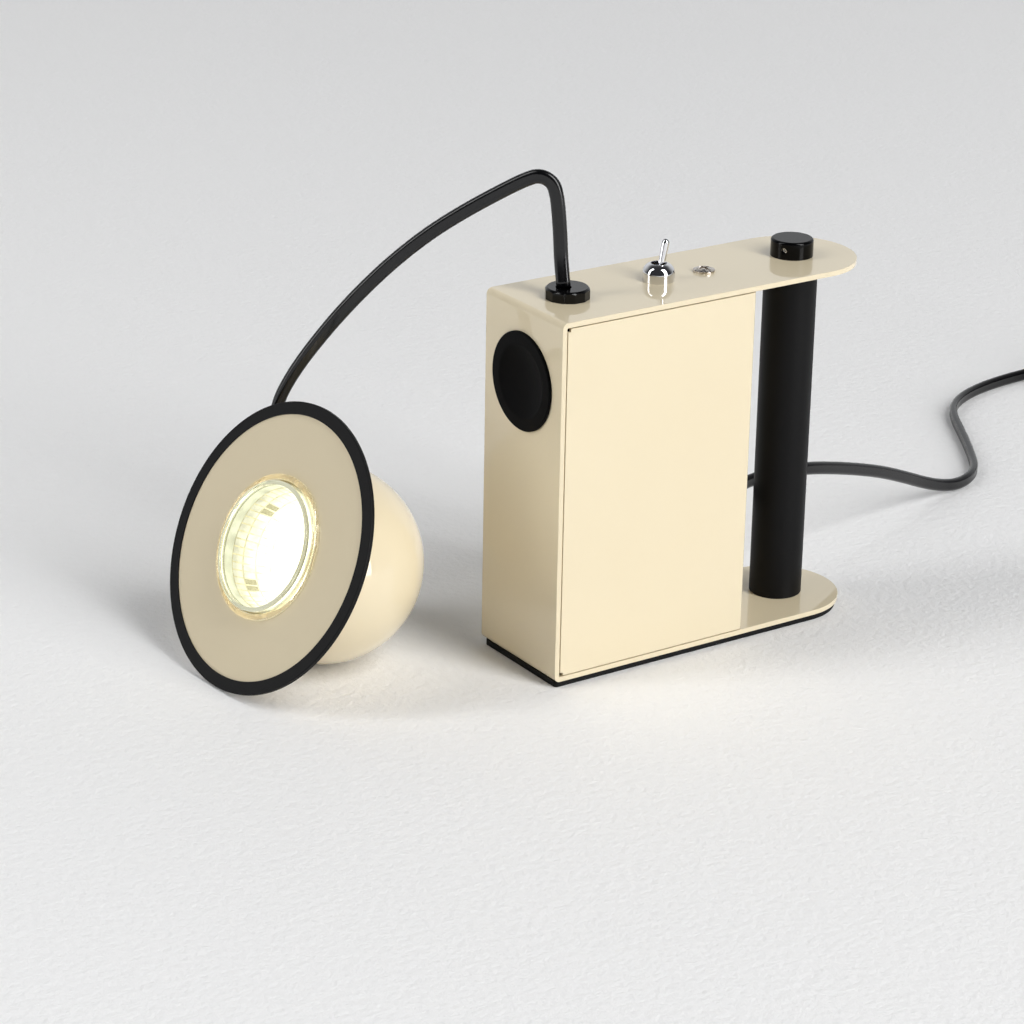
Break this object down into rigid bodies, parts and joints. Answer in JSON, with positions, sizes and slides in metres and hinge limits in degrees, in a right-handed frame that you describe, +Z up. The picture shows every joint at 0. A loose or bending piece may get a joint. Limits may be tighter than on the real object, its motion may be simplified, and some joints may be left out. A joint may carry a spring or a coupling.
{
  "type": "tabletop searchlight lamp",
  "caption": "Small table searchlight: cream steel box with a rod handle, magnetic dished seat, toggle switch and a ball head with a wide disc on a loose lead, plus mains cord and plug.",
  "frame": {"origin": "centre of the underside of the rubber base pad, on the table", "axes": "+X from the front plate with the magnetic seat to the carrying handle, +Z up"},
  "size_m": [0.5911, 0.1771, 0.1913],
  "materials": {
    "cream_paint": "gloss",
    "black_rubber": "matte",
    "black_plastic": "satin",
    "black_paint": "satin",
    "chrome": "polished",
    "zinc_steel": "satin",
    "brass": "satin",
    "cast_magnet": "satin",
    "white_plastic": "satin",
    "clear_glass": "polished",
    "light_board": "satin",
    "ceramic": "satin",
    "cord_jacket": "satin"
  },
  "bodies": {
    "base": {"folded_body": "cream_paint", "box_cover": "cream_paint", "base_pad": "black_rubber", "cover_screw": "chrome", "floor_screw": "zinc_steel", "handle_tube": "black_paint", "handle_lower_plug": "black_plastic", "handle_upper_plug": "black_plastic", "handle_rod": "zinc_steel", "handle_cap": "black_paint", "cap_set_screw": "zinc_steel", "gland_nut": "black_plastic", "gland_body": "black_plastic", "toggle_dome_nut": "chrome", "toggle_body": "black_plastic", "toggle_bushing": "brass", "toggle_terminals": "brass", "seat_cup": "black_plastic", "seat_magnet": "cast_magnet", "seat_nut": "zinc_steel", "cord_bush": "black_rubber", "terminal_block": "white_plastic", "block_screws": "brass", "lamp_lead": "cord_jacket", "mains_cord": "cord_jacket", "mains_coil": "cord_jacket", "mains_tail": "cord_jacket", "mains_plug": "black_rubber", "plug_pins": "brass"},
    "head": {"head_shell": "cream_paint", "head_disc": "cream_paint", "rim_ring": "black_rubber", "lamp_collar": "clear_glass", "lead_grommet": "black_rubber", "lampholder": "ceramic", "holder_screws": "zinc_steel", "holder_plate": "zinc_steel"},
    "lamp": {"lamp_reflector": "clear_glass", "lamp_lens": "clear_glass", "lamp_board": "light_board", "lamp_base": "ceramic", "lamp_pins": "brass"},
    "lever": {"toggle_lever": "chrome"}
  },
  "joints": [
    {"name": "head_carry", "type": "slide", "parent": "base", "child": "head", "axis": [0.1925, -0.5167, 0.8343], "range_m": [0, 0.091], "deforming": ["lamp_lead"]},
    {"name": "lamp_twist", "type": "hinge", "parent": "head", "child": "lamp", "pos_m": [-0.13225, 0.0471, 0.0386], "axis": [-0.8944, -0.0767, 0.4406], "range_deg": [0, 20]},
    {"name": "switch_lever", "type": "hinge", "parent": "base", "child": "lever", "pos_m": [-0.0139, 0, 0.1432], "axis": [0, 1, 0], "range_deg": [-21, 0]}
  ]
}
